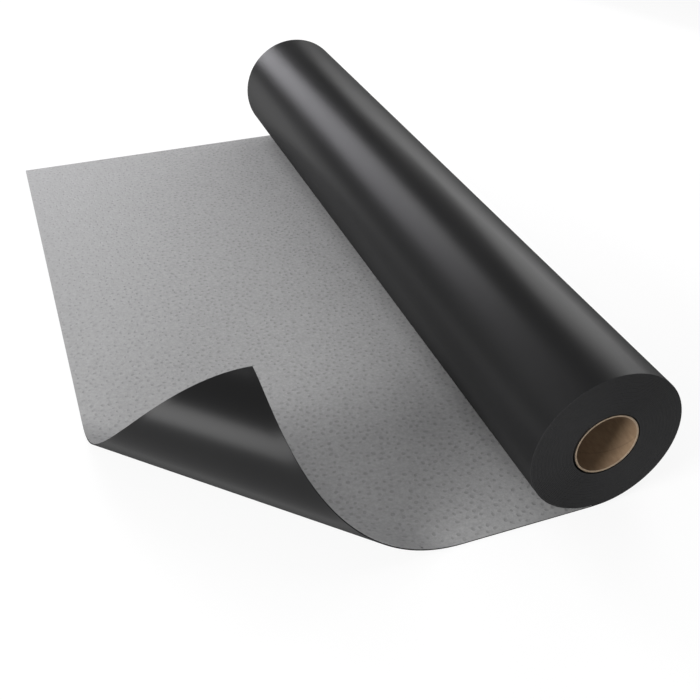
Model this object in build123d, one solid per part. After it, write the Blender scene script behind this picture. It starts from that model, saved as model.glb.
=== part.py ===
from build123d import *
import math
import os

# A partly unrolled roll of roofing membrane. The membrane is one continuous sheet:
# most of it is wound on a cardboard tube, the rest lies flat on the floor, and the
# free corner nearest the front is rolled up and over. Lengths are in millimetres.
# The roll's axis runs along Y, the laid sheet runs out to -X, and the floor is Z = 0.

# Membrane
roll_width = 1050.0
thickness = 1.5
roll_radius = 88.3
sheet_length = 496.0      # from the roll's axis to the cut end of the laid sheet
nip_gap = 0.2             # between roll and sheet where the wedge of air starts

# Corner rolled up: the curl starts on a line at 45 degrees across the corner
curl_setback = 340.0      # from the corner to that line, along either cut edge
curl_radius = 74.5        # of the underside, which is the outside of the curl
corner_nip = 1.0          # half the width left at the very tip of the corner
trim_margin = 10.0        # how far the shapes that trim the corner reach past it
climbing_line_points = 13

# Turns showing on the roll's ends, with a notch between each turn and the next
notch_depth = 0.5
crest_recess = 0.05       # from the ends of the outer turn to those of the turns inside it
plain_inner_turns = 2     # turns against the tube left plain

# Cardboard tube
tube_bore_radius = 35.0
tube_wall = 2.5
tube_fit = 0.1            # radial clearance between the tube and the first turn
tube_end_chamfer = 0.4

# Worked out from the above
tube_radius = tube_bore_radius + tube_wall
wound_bore_radius = tube_radius + tube_fit
second_arc_centre = roll_radius + thickness / 2
axis_height = roll_radius + thickness / 4
notched_turns = int((roll_radius - wound_bore_radius) / thickness) - plain_inner_turns
frame_shift = Location(((sheet_length - roll_radius) / 2, 0, 0))
curl_length = curl_setback / math.sqrt(2)


def roll_and_sheet_outline():
    """The section seen from the front: the outer turn comes down round the roll and
    runs out as the laid sheet. Two half circles set half a thickness apart make the
    outer turn one thickness smaller after a full turn, so it lands on the sheet."""
    left_radius = roll_radius - thickness / 2
    nip_angle = math.degrees(math.acos(1 - nip_gap / left_radius))
    with BuildLine() as outline:
        Line((-sheet_length, 0), (0, 0))
        CenterArc((0, roll_radius), roll_radius, -90, 180)
        left = CenterArc((0, second_arc_centre), left_radius, 90, 180 - nip_angle)
        Polyline(left @ 1, ((left @ 1).X, thickness), (-sheet_length, thickness), (-sheet_length, 0))
    return make_face(outline.line)


def extrude_across_roll(section):
    """A section drawn in X and Z, extruded over the roll's whole width."""
    return extrude(Plane.XZ * section, amount=roll_width / 2, both=True)


def turn_notches(side, centre_height, outer_radius):
    """The notches over one half of the roll's front end: side is 1 away from the laid
    sheet and -1 above it. The two halves have their own centres, so that the notches
    run on from one half to the other as a spiral."""
    crest = crest_recess - roll_width / 2
    points = [(outer_radius - thickness / 2, -roll_width)]
    for turn in range(1, notched_turns + 1):
        boundary = outer_radius - turn * thickness
        points.append((boundary + thickness / 2, crest))
        points.append((boundary, crest + notch_depth))
    points.append((boundary - thickness / 2, crest))
    points.append((boundary - thickness / 2, -roll_width))
    section = make_face(Polyline(*points, close=True))
    downwards = Plane(origin=(0, 0, centre_height), x_dir=(0, 0, -1), z_dir=(1, 0, 0))
    axis = Axis((0, 0, centre_height), (0, -side, 0))
    return revolve(downwards * section, axis, 180)


def curl_point(along, side, depth):
    """A point of the rolled-up corner, in the curl's own frame: X across the corner,
    Y outwards towards it, Z up. along is the length of sheet from the start line,
    side is -1 or 1 for the two cut edges, and depth is the distance inwards from
    the underside."""
    turned = along / curl_radius
    radius = curl_radius - depth
    half_width = curl_length - along
    return Vector(
        side * half_width,
        radius * math.sin(turned),
        curl_radius - radius * math.cos(turned),
    )


def climbing_line(side, depth):
    """A line that climbs round the curl along one cut edge, and runs past both ends
    of the corner."""
    first = -trim_margin
    last = curl_length + trim_margin
    shares = [i / (climbing_line_points - 1) for i in range(climbing_line_points)]
    points = [curl_point(first + (last - first) * share, side, depth) for share in shares]
    return Edge.make_spline(points)


def beyond_cut_edge(side):
    """All that lies outwards of one cut edge. The edge is cut square through the
    sheet, so its face is ruled from one climbing line to another."""
    outer_line = climbing_line(side, -trim_margin)
    inner_line = climbing_line(side, thickness + trim_margin)
    edge_face = Face.make_surface_from_curves(outer_line, inner_line)
    return extrude(edge_face, amount=2 * curl_length, dir=(side, 0, 0))


def rolled_corner():
    """The part of the sheet beyond the start line: a curved wall, less all that lies
    beyond its two cut edges."""
    turned = math.degrees((curl_length - corner_nip) / curl_radius)
    with BuildLine() as section:
        underside = CenterArc((0, curl_radius), curl_radius, -90, turned)
        face = CenterArc((0, curl_radius), curl_radius - thickness, -90, turned)
        Line(underside @ 0, face @ 0)
        Line(underside @ 1, face @ 1)
    half_width = curl_length + trim_margin / 2
    wall = extrude(Plane.YZ * make_face(section.line), amount=half_width, both=True)
    return wall - [beyond_cut_edge(side) for side in (-1, 1)]


def curl_frame():
    """Where the curl starts: the middle of the line across the corner, with the
    curl's Y pointing out to the cut-off corner."""
    middle = Vector(curl_setback / 2 - sheet_length, (curl_setback - roll_width) / 2)
    return Plane(origin=middle, x_dir=(-1, 1, 0), z_dir=(0, 0, 1))


def flat_corner():
    """The triangle that the laid sheet loses to the rolled-up corner."""
    triangle = Polygon(
        (-sheet_length, -roll_width / 2),
        (curl_setback - sheet_length, -roll_width / 2),
        (-sheet_length, curl_setback - roll_width / 2),
        align=None,
    )
    return extrude(triangle, amount=thickness)


def build_membrane():
    body = extrude_across_roll(roll_and_sheet_outline())
    bore = Plane.XZ * Pos(0, axis_height) * Circle(wound_bore_radius)
    body -= extrude(bore, amount=roll_width / 2, both=True)
    for notches in (
        turn_notches(1, roll_radius, roll_radius),
        turn_notches(-1, second_arc_centre, roll_radius - thickness / 2),
    ):
        body -= [notches, mirror(notches, Plane.XZ)]
    body -= flat_corner()
    body += curl_frame() * rolled_corner()
    return frame_shift * body


def build_core_tube():
    wall = Circle(tube_radius) - Circle(tube_bore_radius)
    tube = extrude(Plane.XZ * Pos(0, axis_height) * wall, amount=roll_width / 2, both=True)
    ends = tube.edges().filter_by(GeomType.CIRCLE)
    return frame_shift * chamfer(ends, tube_end_chamfer)


os.makedirs("parts", exist_ok=True)
export_step(build_membrane(), "parts/membrane.step")
export_step(build_core_tube(), "parts/core_tube.step")
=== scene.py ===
"""A partly unrolled roll of roofing membrane on its cardboard tube, with the free
corner rolled up. Lengths are in metres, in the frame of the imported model: the roll's
axis runs along Y, the laid sheet runs out to -X and the floor is Z = 0."""

import math
import random

import bpy
from mathutils import Matrix, Vector
from mathutils.geometry import delaunay_2d_cdt


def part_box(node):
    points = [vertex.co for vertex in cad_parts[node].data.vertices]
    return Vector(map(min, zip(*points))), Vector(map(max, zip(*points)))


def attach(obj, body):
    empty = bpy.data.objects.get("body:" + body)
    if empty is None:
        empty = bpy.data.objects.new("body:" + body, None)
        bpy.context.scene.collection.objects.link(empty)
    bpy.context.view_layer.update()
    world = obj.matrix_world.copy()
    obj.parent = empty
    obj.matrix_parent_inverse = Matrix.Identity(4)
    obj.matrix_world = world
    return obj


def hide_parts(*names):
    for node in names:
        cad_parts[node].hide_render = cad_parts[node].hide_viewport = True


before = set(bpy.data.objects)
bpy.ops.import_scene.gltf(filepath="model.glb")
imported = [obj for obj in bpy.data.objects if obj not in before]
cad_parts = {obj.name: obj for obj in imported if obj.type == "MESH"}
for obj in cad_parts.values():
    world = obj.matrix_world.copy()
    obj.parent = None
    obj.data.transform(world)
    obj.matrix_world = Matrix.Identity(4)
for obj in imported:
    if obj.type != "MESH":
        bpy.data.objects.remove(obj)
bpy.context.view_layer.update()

# The membrane, as in the solid model
THICKNESS = 0.0015
CURL_SETBACK = 0.340          # from the corner to the start of the curl, along an edge
CURL_RADIUS = 0.0745          # of the underside, which is the outside of the curl

# Height of the seam between its black back and its grey face, at the cut edges and
# elsewhere: the grey layer is a thin skin where it is cut
SEAM_AT_EDGE = 0.00138
SEAM_INSIDE = 0.00085

# The laid sheet
LAID_ROWS = 105
LAID_COLUMNS = 86
FACE_SHORT_OF_AXIS = 0.003    # the grey layer ends in the nip, this far before the axis

# Embossing of the face: oval dimples, scattered over all but its strip deep in the nip
DIMPLE_SPACING = 0.0077
FARTHEST_TRY = 1.6            # times the spacing, for a dimple beside another
TRIES_PER_DIMPLE = 24
DIMPLE_EDGE_MARGIN = 0.004
DIMPLES_SHORT_OF_AXIS = 0.03
DIMPLE_SIDES = 8
DIMPLE_POINTS = DIMPLE_SIDES + 1    # with its centre, which comes last
DIMPLE_RADIUS = 0.0024
RADIUS_SHARES = (0.7, 1.15)
STRETCH_SHARES = (1, 1.3)
DIMPLE_DEPTH = 0.0004
DEPTH_SHARES = (0.6, 1.0)
FAINT_DIMPLES = 0.25
FAINT_DEPTH_SHARE = 0.4
POINT_TOLERANCE = 1e-7

# Wound turns
STATIONS_PER_TURN = 96
TURN_GAP = 0.00005
EDGE_CHAMFER = 0.00025
DEEPEST_TURN = 0.00015
NEAR_WAVE = (2.3, 0.4)        # radians per turn, and at the start, of the edge's waver
FAR_WAVE = (1.9, 2.0)

# Cardboard tube
TUBE_WALL = 0.0025
TUBE_SEGMENTS = 128
PLIES = 5
PLY_GROOVE = 0.00012
TUBE_END_ROUND = 0.0003
OUTER_PLY = 0.00045
OUTER_PLY_SHORT = 0.0015
PAPER_PITCH = 0.105

# Edges sharper than this, in degrees, stay crisp
CRISP_ANGLE = 35
TUBE_CRISP_ANGLE = 30

# Materials
FACE_MOTTLE = 0.12
BACK_MOTTLE = 0.2
BACK_COOLNESS = 1.025         # its blue against its red and green
GLOSS_SPREAD = 0.03
LOW_ANGLES = (0.62, 0.88)     # facing weights between which the back's roughness grows
LOW_ANGLE_ROUGHNESS = 0.4
BOARD_ROUGHNESS = 0.75
BOARD_SPECULAR = 0.25
FIBRE_STRETCH = (1.0, 0.35, 1.0)
PAPER_SEAM_SHADE = (0.78, 0.78, 0.78)
PAPER_SEAM_WIDTH = 0.02       # share of a turn

# Camera, fitted to the photograph, whose sides are IMAGE_PIXELS long
IMAGE_PIXELS = 700
FOCAL_PIXELS = 950.94
SENSOR_WIDTH = 36.0
CAMERA_PLACE = (-0.29764, -1.11114, 0.73781)
CAMERA_TURN = Vector((0.9272, -0.1715, -0.3285))    # along its axis, as long as its angle

# Light
WHITE = (1, 1, 1)
COOL_WHITE = (0.96, 0.95, 1)
WORLD_STRENGTH = 0.16
FLOOR_HALF_SIZE = 8
FLOOR_Z = -0.0002
FLOOR_COLOUR = 0.8            # for the light that it sends back to the object
FLOOR_GLOW = 0.85             # its own light, where it is seen
FLOOR_SHADOW_COLOUR = 0.16    # added to that, and darker in the object's shadow

# Each lamp's name, place, target, width, height, power and colour. Those behind and to
# the right are where the black sheet mirrors them as the bands in the photograph.
LAMPS = (
    ("back_left", (-0.57, 2.20, 1.30), (0.1, 0, 0.1), 1.2, 0.85, 21, COOL_WHITE),
    ("far_low", (-0.28, 2.45, 0.62), (0.25, 0.5, 0.2), 0.6, 0.45, 6, COOL_WHITE),
    ("far_left", (-1.34, 1.25, 1.15), (0.1, -0.3, 0.1), 1.0, 0.9, 2.5, WHITE),
    ("right_strip", (1.07, 1.08, 0.50), (0.03, 0.71, 0.17), 1.7, 0.55, 7.5, WHITE),
    ("right_near", (1.17, 0.60, 1.0), (0.25, -0.5, 0.17), 0.8, 0.5, 5, WHITE),
    ("back", (-0.20, 1.30, 1.34), (-0.28, -0.35, 0), 0.5, 0.4, 4, WHITE),
    ("left", (-3.30, -1.20, 1.25), (-0.1, -0.3, 0.1), 1.6, 1.8, 160, WHITE),
    ("key", (-0.36, -2.65, 1.0), (0.1, -0.5, 0.1), 0.8, 0.8, 18, WHITE),
    ("top", (0.95, 0.2, 2.1), (0, 0, 0), 1.2, 1.2, 7, WHITE),
)

# Read from the solids
membrane_low, membrane_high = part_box("membrane")
tube_low, tube_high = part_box("core_tube")
AXIS_X = (tube_low.x + tube_high.x) / 2
AXIS_Z = (tube_low.z + tube_high.z) / 2
TUBE_RADIUS = (tube_high.x - tube_low.x) / 2
HALF_WIDTH = membrane_high.y
CUT_X = membrane_low.x
ROLL_RADIUS = membrane_high.x - AXIS_X

# The middle of the line at 45 degrees across the near corner where the curl starts
CURL_START = Vector((CUT_X + CURL_SETBACK / 2, -HALF_WIDTH + CURL_SETBACK / 2))

rng = random.Random(7)


def bend(x, y, height):
    """Where a point of the laid sheet goes when the near corner is rolled up. height
    is above the sheet's underside."""
    beyond = -((x - CURL_START.x) + (y - CURL_START.y)) / math.sqrt(2)
    if beyond <= 0:
        return Vector((x, y, height))
    across = (-(x - CURL_START.x) + (y - CURL_START.y)) / math.sqrt(2)
    turned = beyond / CURL_RADIUS
    radius = CURL_RADIUS - height
    reach = radius * math.sin(turned)
    return Vector((
        CURL_START.x - (across + reach) / math.sqrt(2),
        CURL_START.y + (across - reach) / math.sqrt(2),
        CURL_RADIUS - radius * math.cos(turned),
    ))


def make_piece(name, vertices, faces, materials, crisp_angle=CRISP_ANGLE):
    """A smooth-shaded mesh that rides on the one body."""
    mesh = bpy.data.meshes.new(name)
    mesh.from_pydata(vertices, [], faces)
    mesh.validate()
    mesh.polygons.foreach_set("use_smooth", [True] * len(mesh.polygons))
    mesh.set_sharp_from_angle(angle=math.radians(crisp_angle))
    for material in materials:
        mesh.materials.append(material)
    piece = bpy.data.objects.new(name, mesh)
    bpy.context.scene.collection.objects.link(piece)
    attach(piece, "root")
    return piece


# Materials

def new_material(name):
    """A material, its shader, and functions that add a node and link two sockets."""
    material = bpy.data.materials.new(name)
    material.use_nodes = True
    tree = material.node_tree

    def add(kind, **settings):
        node = tree.nodes.new(kind)
        for key, value in settings.items():
            if key in node.inputs:
                node.inputs[key].default_value = value
            else:
                setattr(node, key, value)
        return node

    return material, tree.nodes["Principled BSDF"], add, tree.links.new


def add_noise(add, link, place, **settings):
    """Noise over coordinates given by a socket."""
    noise = add("ShaderNodeTexNoise", **settings)
    link(place, noise.inputs["Vector"])
    return noise.outputs["Fac"]


def add_ramp(add, link, value, low, high, start=0.0, end=1.0):
    """A colour that goes from low to high as a value goes from start to end."""
    ramp = add("ShaderNodeValToRGB")
    first, last = ramp.color_ramp.elements
    first.position = start
    first.color = (*low, 1)
    last.position = end
    last.color = (*high, 1)
    link(value, ramp.inputs["Fac"])
    return ramp.outputs["Color"]


def add_range(add, link, value, start, end, low, high):
    """A number that goes from low to high as a value goes from start to end."""
    scale = add("ShaderNodeMapRange")
    scale.inputs["From Min"].default_value = start
    scale.inputs["From Max"].default_value = end
    scale.inputs["To Min"].default_value = low
    scale.inputs["To Max"].default_value = high
    link(value, scale.inputs["Value"])
    return scale.outputs["Result"]


def add_relief(add, link, shader, height, strength, distance):
    """A fine relief on the surface, from the socket that gives its height."""
    relief = add("ShaderNodeBump", Strength=strength, Distance=distance)
    link(height, relief.inputs["Height"])
    link(relief.outputs["Normal"], shader.inputs["Normal"])


def face_material(name, shade, roughness, specular):
    """Matt grey pvc, mottled and faintly grained."""
    material, shader, add, link = new_material(name)
    shader.inputs["Roughness"].default_value = roughness
    shader.inputs["Specular IOR Level"].default_value = specular
    place = add("ShaderNodeTexCoord").outputs["Object"]
    cloud = add_noise(add, link, place, Scale=240.0, Detail=3.0, Roughness=0.7)
    dark = shade * (1 - FACE_MOTTLE)
    light = shade * (1 + FACE_MOTTLE)
    colour = add_ramp(
        add, link, cloud, (dark, dark, dark), (light, light, light), start=0.3, end=0.7
    )
    link(colour, shader.inputs["Base Color"])
    add_relief(add, link, shader, cloud, strength=0.6, distance=0.0003)
    return material


def back_material(name, shade, roughness, specular):
    """Black pvc. Its fine calendered texture takes away gloss at a low angle."""
    material, shader, add, link = new_material(name)
    shader.inputs["Specular IOR Level"].default_value = specular
    place = add("ShaderNodeTexCoord").outputs["Object"]
    cloud = add_noise(add, link, place, Scale=6.0, Detail=3.0)
    dark = shade * (1 - BACK_MOTTLE)
    light = shade * (1 + BACK_MOTTLE)
    colour = add_ramp(
        add, link, cloud, (dark, dark, dark * BACK_COOLNESS), (light, light, light * BACK_COOLNESS)
    )
    link(colour, shader.inputs["Base Color"])
    slant = add("ShaderNodeLayerWeight", Blend=0.5).outputs["Facing"]
    total = add("ShaderNodeMath", operation="ADD")
    glossiest = roughness - GLOSS_SPREAD
    plain = add_range(add, link, cloud, 0, 1, glossiest, roughness + GLOSS_SPREAD)
    more = add_range(add, link, slant, *LOW_ANGLES, 0, LOW_ANGLE_ROUGHNESS)
    link(plain, total.inputs[0])
    link(more, total.inputs[1])
    link(total.outputs[0], shader.inputs["Roughness"])
    grain = add_noise(add, link, place, Scale=700.0, Detail=2.0)
    add_relief(add, link, shader, grain, strength=0.06, distance=0.0001)
    return material


def cardboard_material(name, dark, light):
    """Brown paper with faint fibres, and the helical seam of its innermost ply."""
    material, shader, add, link = new_material(name)
    shader.inputs["Roughness"].default_value = BOARD_ROUGHNESS
    shader.inputs["Specular IOR Level"].default_value = BOARD_SPECULAR
    stretch = add("ShaderNodeMapping", Scale=FIBRE_STRETCH)
    link(add("ShaderNodeTexCoord").outputs["Object"], stretch.inputs["Vector"])
    place = stretch.outputs["Vector"]
    fibres = add_noise(add, link, place, Scale=260.0, Detail=5.0, Roughness=0.6)
    paper = add_ramp(add, link, fibres, dark, light, start=0.3, end=0.75)
    split = add("ShaderNodeSeparateXYZ")
    link(add("ShaderNodeUVMap", uv_map="winding").outputs["UV"], split.inputs["Vector"])
    lap = add("ShaderNodeMath", operation="FRACT")
    link(split.outputs["X"], lap.inputs[0])
    seam = add_ramp(
        add, link, lap.outputs[0], PAPER_SEAM_SHADE, WHITE, end=PAPER_SEAM_WIDTH
    )
    both = add("ShaderNodeMix", data_type="RGBA", blend_type="MULTIPLY")
    both.inputs["Factor"].default_value = 1.0
    link(paper, both.inputs["A"])
    link(seam, both.inputs["B"])
    link(both.outputs["Result"], shader.inputs["Base Color"])
    add_relief(add, link, shader, fibres, strength=0.2, distance=0.0001)
    return material


GREY_FACE = face_material("grey_face", shade=0.315, roughness=0.55, specular=0.12)
# The dimples' grey, painted dark against the flat as shade in their hollows
GREY_DIMPLE_PAINTED_SHADE = face_material("grey_dimple_painted_shade", shade=0.254, roughness=0.45, specular=0.16)
BLACK_BACK = back_material("black_back", shade=0.011, roughness=0.32, specular=0.1)
# The same black pvc on the cut edges and the roll's ends, painted lighter than the back as light
# falling on them
BLACK_EDGE_PAINTED_LIGHT = back_material("black_edge_painted_light", shade=0.0262, roughness=0.65, specular=0.05)
# The bore's brown, painted dark as shade inside the tube
BORE_BOARD_PAINTED_SHADE = cardboard_material("cardboard", (0.182, 0.12, 0.073), (0.232, 0.159, 0.098))
# The cut ends' lighter, greyer brown: partly the cut paper's own tone, partly painted light on the
# lit end ring
BOARD_END_TONE_AND_LIGHT = cardboard_material("board_end_tone_and_light", (0.25, 0.19, 0.135), (0.32, 0.25, 0.18))
# The outer ply, painted near black as shade in the gap between the tube and the wound sheet
OUTER_PLY_PAINTED_SHADE = cardboard_material("outer_ply_painted_shade", (0.03, 0.025, 0.02), (0.04, 0.033, 0.027))


# The laid sheet

def sheet_grid(end_x):
    """Corners of a grid over the flat sheet, as rows of (x, y, seam), where seam is the
    height between the two layers."""
    rows = []
    for row in range(LAID_ROWS + 1):
        y = -HALF_WIDTH + 2 * HALF_WIDTH * row / LAID_ROWS
        corners = []
        for column in range(LAID_COLUMNS + 1):
            x = CUT_X + (end_x - CUT_X) * column / LAID_COLUMNS
            inside = 0 < column and 0 < row < LAID_ROWS
            corners.append((x, y, SEAM_INSIDE if inside else SEAM_AT_EDGE))
        rows.append(corners)
    return rows


def seam_points(grid):
    """The seam between the two layers, bent with the sheet."""
    return [bend(x, y, seam) for row in grid for x, y, seam in row]


def rim_of(grid):
    """The border of a grid given as rows, anticlockwise from its first corner."""
    right = [row[-1] for row in grid[1:]]
    far = list(grid[-1][-2::-1])
    left = [row[0] for row in grid[-2:0:-1]]
    return [*grid[0], *right, *far, *left]


def closing_faces(upper, lower):
    """Faces that join two rims, given as lists of vertex numbers."""
    return [
        (lower[i - 1], lower[i], upper[i], upper[i - 1]) for i in range(len(upper))
    ]


def grid_faces(rows, upwards):
    """Four-sided faces between the rows of a grid of vertex numbers."""
    faces = []
    for near, far in zip(rows, rows[1:]):
        for i in range(len(near) - 1):
            face = (near[i], near[i + 1], far[i + 1], far[i])
            faces.append(face if upwards else face[::-1])
    return faces


def numbered(grid, first):
    """Rows of vertex numbers for a grid, counted on from first."""
    width = len(grid[0])
    return [range(first + width * i, first + width * (i + 1)) for i in range(len(grid))]


def lay_back():
    """The black layer of the laid sheet, from the nip to the cut end."""
    grid = sheet_grid(AXIS_X)
    vertices = [bend(x, y, 0) for row in grid for x, y, _ in row]
    under = numbered(grid, 0)
    over = numbered(grid, len(vertices))
    vertices += seam_points(grid)
    faces = [*grid_faces(under, upwards=False), *grid_faces(over, upwards=True)]
    first_cut = len(faces)
    faces += closing_faces(rim_of(over), rim_of(under))
    # The cut edges take the black painted lighter, as light on them
    materials = [BLACK_BACK, BLACK_EDGE_PAINTED_LIGHT]
    piece = make_piece("laid_back", vertices, faces, materials)
    for face in piece.data.polygons[first_cut:]:
        face.material_index = 1
    return piece


def scattered_points(low_x, high_x, low_y, high_y):
    """Points spread evenly but at random over a rectangle, none of them nearer to
    another than the dimples' spacing."""
    box = DIMPLE_SPACING / math.sqrt(2)
    near_steps = [(i, j) for i in range(-2, 3) for j in range(-2, 3)]
    taken = {}

    def cell_of(x, y):
        return int((x - low_x) // box), int((y - low_y) // box)

    def is_free(x, y):
        column, row = cell_of(x, y)
        for i, j in near_steps:
            other = taken.get((column + i, row + j))
            if other and math.dist(other, (x, y)) < DIMPLE_SPACING:
                return False
        return True

    def keep(x, y):
        taken[cell_of(x, y)] = (x, y)
        return x, y

    points = [keep((low_x + high_x) / 2, (low_y + high_y) / 2)]
    open_points = list(points)
    while open_points:
        index = rng.randrange(len(open_points))
        from_x, from_y = open_points[index]
        for _ in range(TRIES_PER_DIMPLE):
            angle = rng.uniform(0, 2 * math.pi)
            away = DIMPLE_SPACING * rng.uniform(1, FARTHEST_TRY)
            x = from_x + away * math.cos(angle)
            y = from_y + away * math.sin(angle)
            if low_x < x < high_x and low_y < y < high_y and is_free(x, y):
                points.append(keep(x, y))
                open_points.append((x, y))
                break
        else:
            open_points.pop(index)
    return points


def make_dimple(x, y):
    """The rim of one dimple, anticlockwise, then its centre. Rims are slightly oval."""
    radius = DIMPLE_RADIUS * rng.uniform(*RADIUS_SHARES)
    stretch = rng.uniform(*STRETCH_SHARES)
    turn = rng.uniform(0, math.pi)
    points = []
    for i in range(DIMPLE_SIDES):
        angle = 2 * math.pi * i / DIMPLE_SIDES
        along = radius * stretch * math.cos(angle)
        across = radius / stretch * math.sin(angle)
        points.append((
            x + along * math.cos(turn) - across * math.sin(turn),
            y + along * math.sin(turn) + across * math.cos(turn),
        ))
    return [*points, (x, y)]


def flat_part(border, dimples):
    """Triangles of the flat between the dimples. Points are numbered from the border's
    on, then dimple by dimple."""
    count = len(border)
    points = list(border)
    edges = [(i, (i + 1) % count) for i in range(count)]
    for dimple in dimples:
        first = len(points)
        points += dimple
        edges += [(first + i, first + (i + 1) % DIMPLE_SIDES) for i in range(DIMPLE_SIDES)]
    _, _, faces, origins, _, _ = delaunay_2d_cdt(
        [Vector(point) for point in points], edges, [], 0, POINT_TOLERANCE, True
    )
    triangles = []
    for face in faces:
        corners = [origins[i][0] for i in face]
        owners = {(i - count) // DIMPLE_POINTS for i in corners}
        inside_dimple = min(corners) >= count and len(owners) == 1
        if inside_dimple:
            continue
        (ax, ay), (bx, by), (cx, cy) = (points[i] for i in corners)
        left_turn = (bx - ax) * (cy - ay) - (by - ay) * (cx - ax) > 0
        triangles.append(corners if left_turn else corners[::-1])
    return points, triangles


def sharpen_rims(mesh, first, count):
    """A crisp edge round each dimple. first is the number of the first rim's vertex."""
    for edge in mesh.edges:
        start, end = sorted(edge.vertices)
        if start < first or end >= first + DIMPLE_POINTS * count:
            continue
        same_dimple = (start - first) // DIMPLE_POINTS == (end - first) // DIMPLE_POINTS
        to_centre = (end - first) % DIMPLE_POINTS == DIMPLE_SIDES
        if same_dimple and not to_centre:
            edge.use_edge_sharp = True


def lay_face():
    """The grey layer, pressed with scattered dimples, the deeper ones painted dark as
    shade in their hollows. Some are faint, and keep the colour of the flat."""
    grid = sheet_grid(AXIS_X - FACE_SHORT_OF_AXIS)
    border = [(x, y) for x, y, _ in rim_of(grid)]
    margin = DIMPLE_EDGE_MARGIN
    last_x = AXIS_X - DIMPLES_SHORT_OF_AXIS
    places = scattered_points(CUT_X + margin, last_x, margin - HALF_WIDTH, HALF_WIDTH - margin)
    points, faces = flat_part(border, [make_dimple(x, y) for x, y in places])
    vertices = [bend(x, y, THICKNESS) for x, y in points]
    painted_shade_faces = []
    for i, (x, y) in enumerate(places):
        faint = rng.random() < FAINT_DIMPLES
        depth = DIMPLE_DEPTH * (FAINT_DEPTH_SHARE if faint else rng.uniform(*DEPTH_SHARES))
        rim = len(border) + DIMPLE_POINTS * i
        centre = rim + DIMPLE_SIDES
        vertices[centre] = bend(x, y, THICKNESS - depth)
        # The deeper dimples' faces take the grey painted dark, as shade in their hollows
        if not faint:
            painted_shade_faces += range(len(faces), len(faces) + DIMPLE_SIDES)
        faces += [(rim + j, rim + (j + 1) % DIMPLE_SIDES, centre) for j in range(DIMPLE_SIDES)]
    under = numbered(grid, len(vertices))
    vertices += seam_points(grid)
    faces += grid_faces(under, upwards=False)
    faces += closing_faces(range(len(border)), rim_of(under))
    materials = [GREY_FACE, GREY_DIMPLE_PAINTED_SHADE]
    piece = make_piece("laid_face", vertices, faces, materials)
    for i in painted_shade_faces:
        piece.data.polygons[i].material_index = 1
    sharpen_rims(piece.data, len(border), len(places))
    return piece


# The wound turns

def wound_point(turns, depth, y):
    """A point of the wound sheet, that many turns in from the nip at the bottom, and
    depth in from the turn's outer side. Each half turn is a half circle with its own
    centre."""
    whole = math.floor(turns)
    part = turns - whole
    radius = ROLL_RADIUS - whole * THICKNESS - depth
    centre_z = ROLL_RADIUS
    if part >= 0.5:
        radius -= THICKNESS / 2
        centre_z += THICKNESS / 2
    angle = 2 * math.pi * (part - 0.25)
    return Vector((AXIS_X + radius * math.cos(angle), y, centre_z + radius * math.sin(angle)))


def edge_inset(turns, wave):
    """How far a long edge of the wound sheet lies in from the roll's end: nothing at
    the nip, and slightly uneven from turn to turn."""
    rate, shift = wave
    return min(1.0, turns) * DEEPEST_TURN * (0.5 + 0.5 * math.sin(rate * turns + shift))


def strip_section(turns):
    """The wound sheet's section, as depth and y, with its long edges chamfered: the
    near end from the outer side inwards, then the far end back outwards."""
    near_y = -HALF_WIDTH + edge_inset(turns, NEAR_WAVE)
    far_y = HALF_WIDTH - edge_inset(turns, FAR_WAVE)
    inner = THICKNESS - TURN_GAP
    return [
        (0, near_y + EDGE_CHAMFER),
        (EDGE_CHAMFER, near_y),
        (inner - EDGE_CHAMFER, near_y),
        (inner, near_y + EDGE_CHAMFER),
        (inner, far_y - EDGE_CHAMFER),
        (inner - EDGE_CHAMFER, far_y),
        (EDGE_CHAMFER, far_y),
        (0, far_y - EDGE_CHAMFER),
    ]


def wind_turns():
    """The sheet wound on the tube, one strip from the nip inwards, with as many turns
    as fit round the tube."""
    turns = (ROLL_RADIUS - THICKNESS - TUBE_RADIUS - THICKNESS / 4) / THICKNESS
    stations = int(turns * STATIONS_PER_TURN)
    vertices = []
    for i in range(stations + 1):
        wound = i / STATIONS_PER_TURN
        vertices += [wound_point(wound, depth, y) for depth, y in strip_section(wound)]
    count = len(vertices) // (stations + 1)
    faces = []
    for i in range(stations):
        for j in range(count):
            a, b = count * i + j, count * i + (j + 1) % count
            faces.append((a, b, b + count, a + count))
    faces.append(tuple(range(count - 1, -1, -1)))
    faces.append(tuple(count * stations + j for j in range(count)))
    # Its edges, the roll's ends, take the black painted lighter, as light on them
    materials = [BLACK_BACK, BLACK_EDGE_PAINTED_LIGHT]
    piece = make_piece("wound_turns", vertices, faces, materials)
    inner_side, outer_side = count // 2 - 1, count - 1
    edge_sides = [j for j in range(count) if j not in (inner_side, outer_side)]
    for i in range(stations):
        for j in edge_sides:
            piece.data.polygons[count * i + j].material_index = 1
    return piece


# The cardboard tube

def tube_section():
    """The section that the tube is turned from, as radius and y. Its plies show as
    flat rings on the ends with a groove after each, and the outermost ply ends a little
    short of the others."""
    bore = TUBE_RADIUS - TUBE_WALL
    flat = TUBE_WALL - 2 * TUBE_END_ROUND
    section = [(bore, -HALF_WIDTH + TUBE_END_ROUND)]
    for ply in range(PLIES):
        start = bore + TUBE_END_ROUND + flat * ply / PLIES
        end = bore + TUBE_END_ROUND + flat * (ply + 1) / PLIES
        section += [(start, -HALF_WIDTH), ((start + 3 * end) / 4, -HALF_WIDTH)]
        if ply < PLIES - 1:
            section.append(((start + 7 * end) / 8, -HALF_WIDTH + PLY_GROOVE))
    step = TUBE_RADIUS - OUTER_PLY
    short = -HALF_WIDTH + OUTER_PLY_SHORT
    section[-1] = (step, -HALF_WIDTH)
    section += [(step, short), (TUBE_RADIUS, short)]
    section += [(radius, -y) for radius, y in reversed(section)]
    return section


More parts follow.
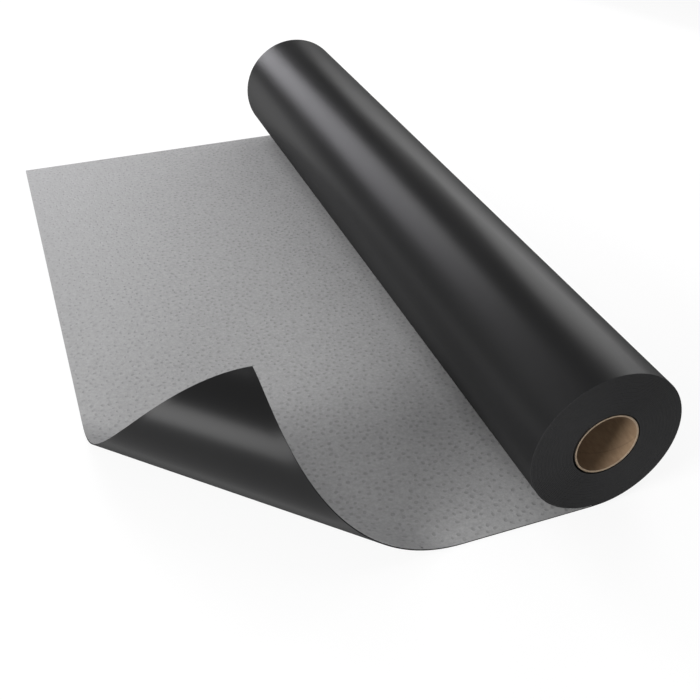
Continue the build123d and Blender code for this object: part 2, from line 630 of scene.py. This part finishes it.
def tube_material(start, end):
    """The number of the material between two points of the tube's section: 0 in the
    bore, painted dark as shade, 1 on the cut ends, partly painted light, and 2 on the
    outer ply, painted near black as shade in the gap round the tube."""
    (start_radius, start_y), (end_radius, end_y) = start, end
    if min(start_radius, end_radius) >= TUBE_RADIUS - OUTER_PLY:
        return 2
    nearer_y = min(abs(start_y), abs(end_y))
    if start_y * end_y > 0 and nearer_y > HALF_WIDTH - 2 * TUBE_END_ROUND:
        return 1
    return 0


def map_winding(mesh, section):
    """Coordinates that count the helical turns of the paper."""
    winding = mesh.uv_layers.new(name="winding")
    count = len(section)
    for i in range(TUBE_SEGMENTS):
        for j in range(count):
            first = 4 * (count * i + j)
            after = (j + 1) % count
            for k, (step, place) in enumerate(((0, j), (1, j), (1, after), (0, after))):
                y = section[place][1]
                turns = (i + step) / TUBE_SEGMENTS + y / PAPER_PITCH
                winding.data[first + k].uv = (turns, y)


def make_tube():
    """The tube, turned from its section."""
    section = tube_section()
    count = len(section)
    vertices, faces = [], []
    for i in range(TUBE_SEGMENTS):
        angle = 2 * math.pi * i / TUBE_SEGMENTS
        for radius, y in section:
            x = AXIS_X + radius * math.cos(angle)
            vertices.append((x, y, AXIS_Z + radius * math.sin(angle)))
        here, there = count * i, count * ((i + 1) % TUBE_SEGMENTS)
        for j in range(count):
            after = (j + 1) % count
            faces.append((here + j, there + j, there + after, here + after))
    # Bore, cut ends and outer ply: painted shade in the bore and the gap, and partly painted light
    # on the ends
    materials = [BORE_BOARD_PAINTED_SHADE, BOARD_END_TONE_AND_LIGHT, OUTER_PLY_PAINTED_SHADE]
    piece = make_piece(
        "paper_tube", vertices, faces, materials, TUBE_CRISP_ANGLE
    )
    for j in range(count):
        material = tube_material(section[j], section[(j + 1) % count])
        for i in range(TUBE_SEGMENTS):
            piece.data.polygons[count * i + j].material_index = material
    map_winding(piece.data, section)
    return piece


laid_back = lay_back()
laid_face = lay_face()
wound_turns = wind_turns()
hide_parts("membrane")
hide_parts("membrane")
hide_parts("membrane")
paper_tube = make_tube()
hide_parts("core_tube")


# Camera, floor and light

def add_camera():
    """The camera at the photograph's view."""
    data = bpy.data.cameras.new("camera")
    data.sensor_width = SENSOR_WIDTH
    data.lens = SENSOR_WIDTH * FOCAL_PIXELS / IMAGE_PIXELS
    camera = bpy.data.objects.new("camera", data)
    turn = Matrix.Rotation(CAMERA_TURN.length, 4, CAMERA_TURN.normalized())
    camera.matrix_world = Matrix.Translation(CAMERA_PLACE) @ turn
    bpy.context.scene.collection.objects.link(camera)
    bpy.context.scene.camera = camera


def add_lamp(name, place, target, width, height, power, colour):
    """A rectangular lamp aimed at a point."""
    data = bpy.data.lights.new(name, "AREA")
    data.shape = "RECTANGLE"
    data.size = width
    data.size_y = height
    data.energy = power
    data.color = colour
    lamp = bpy.data.objects.new(name, data)
    lamp.location = place
    aim = Vector(target) - Vector(place)
    lamp.rotation_euler = aim.to_track_quat("-Z", "Y").to_euler()
    bpy.context.scene.collection.objects.link(lamp)


def floor_material():
    """White where it is seen, directly or mirrored, but for the object's soft shadow,
    and a plain pale surface for the light that it sends back."""
    material, shader, add, link = new_material("white_floor")
    plain = add("ShaderNodeBsdfDiffuse", Color=(FLOOR_COLOUR,) * 3 + (1,))
    shaded = add("ShaderNodeBsdfDiffuse", Color=(FLOOR_SHADOW_COLOUR,) * 3 + (1,))
    bright = add("ShaderNodeEmission", Strength=FLOOR_GLOW)
    both = add("ShaderNodeAddShader")
    link(shaded.outputs[0], both.inputs[0])
    link(bright.outputs[0], both.inputs[1])
    rays = add("ShaderNodeLightPath")
    glossy = add("ShaderNodeMath", operation="MAXIMUM")
    link(rays.outputs["Is Camera Ray"], glossy.inputs[0])
    link(rays.outputs["Is Glossy Ray"], glossy.inputs[1])
    seen = add("ShaderNodeMath", operation="MAXIMUM")
    link(glossy.outputs[0], seen.inputs[0])
    link(rays.outputs["Is Transmission Ray"], seen.inputs[1])
    mix = add("ShaderNodeMixShader")
    link(seen.outputs[0], mix.inputs["Fac"])
    link(plain.outputs[0], mix.inputs[1])
    link(both.outputs[0], mix.inputs[2])
    nodes = material.node_tree.nodes
    link(mix.outputs[0], nodes["Material Output"].inputs["Surface"])
    nodes.remove(shader)
    return material


def add_floor():
    """A white floor, which keeps the object's soft shadow."""
    half = FLOOR_HALF_SIZE
    corners = [(-half, -half, 0), (half, -half, 0), (half, half, 0), (-half, half, 0)]
    mesh = bpy.data.meshes.new("floor")
    mesh.from_pydata(corners, [], [(0, 1, 2, 3)])
    mesh.materials.append(floor_material())
    floor = bpy.data.objects.new("floor", mesh)
    floor.location.z = FLOOR_Z
    bpy.context.scene.collection.objects.link(floor)


def add_world():
    """Plain white light from all round."""
    world = bpy.data.worlds.new("world")
    world.use_nodes = True
    sky = world.node_tree.nodes["Background"]
    sky.inputs["Color"].default_value = (*WHITE, 1)
    sky.inputs["Strength"].default_value = WORLD_STRENGTH
    bpy.context.scene.world = world


add_camera()
add_floor()
add_world()
for lamp_settings in LAMPS:
    add_lamp(*lamp_settings)
bpy.context.scene.view_settings.view_transform = "Standard"
